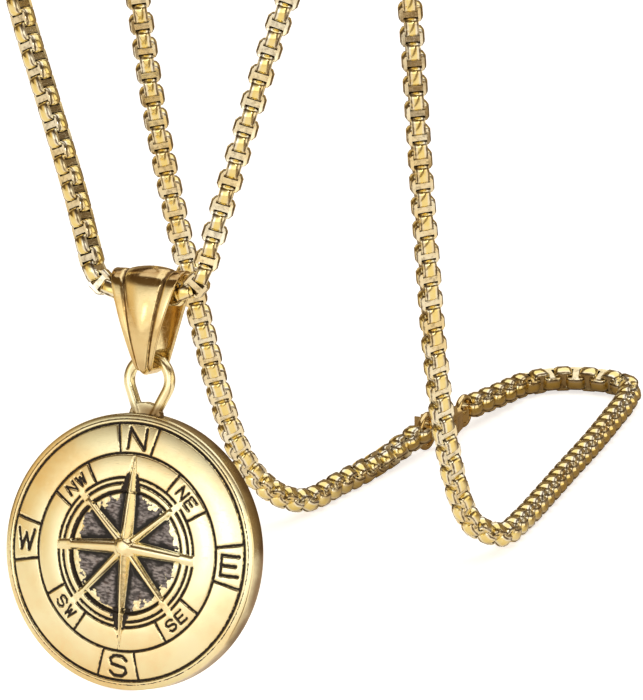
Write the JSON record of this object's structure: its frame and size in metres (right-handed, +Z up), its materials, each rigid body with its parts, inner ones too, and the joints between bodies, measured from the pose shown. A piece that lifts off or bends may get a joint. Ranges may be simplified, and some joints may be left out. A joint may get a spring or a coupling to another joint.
{
  "type": "compass pendant necklace",
  "caption": "Round domed medallion engraved with a compass rose, hung by a folded tapering bail from a thick round box chain that closes with a lobster clasp",
  "frame": {"origin": "Where the chain lies on the top of the bar that the necklace hangs over, midway between the two places where it crosses the bar", "axes": "+Z up, +X to the right of a viewer who faces the medallion, the medallion faces -Y"},
  "size_m": [0.0533, 0.1522, 0.1232],
  "materials": {
    "medallion_gold": "gold-tone metal, polished rim, satin domed face, dark brown engraving and dark textured ground under the star",
    "polished_gold": "polished gold-tone metal",
    "chain_gold": "polished gold-tone strip links"
  },
  "bodies": {
    "necklace": {"chain": "chain_gold", "end_link_left": "chain_gold", "end_link_right": "chain_gold", "hook_ring": "polished_gold", "eye_ring": "polished_gold", "clasp_body": "polished_gold"},
    "bail": {"bail": "polished_gold"},
    "medallion": {"medallion": "medallion_gold"},
    "clasp_lever": {"clasp_lever": "polished_gold"}
  },
  "joints": [
    {"name": "bail_swing", "type": "hinge", "parent": "necklace", "child": "bail", "pos_m": [-0.0005, -0.0187, -0.0727], "axis": [0.997, 0, 0.078], "range_deg": [-75, 35]},
    {"name": "pendant_swing", "type": "hinge", "parent": "bail", "child": "medallion", "pos_m": [0, -0.01963, -0.08043], "axis": [1, 0, 0], "range_deg": [-60, 50]},
    {"name": "clasp_lever", "type": "hinge", "parent": "necklace", "child": "clasp_lever", "pos_m": [-0.01836, 0.09374, -0.1176], "axis": [0, 0, 1], "range_deg": [0, 15], "stiffness_Nm_per_rad": 0.002}
  ]
}
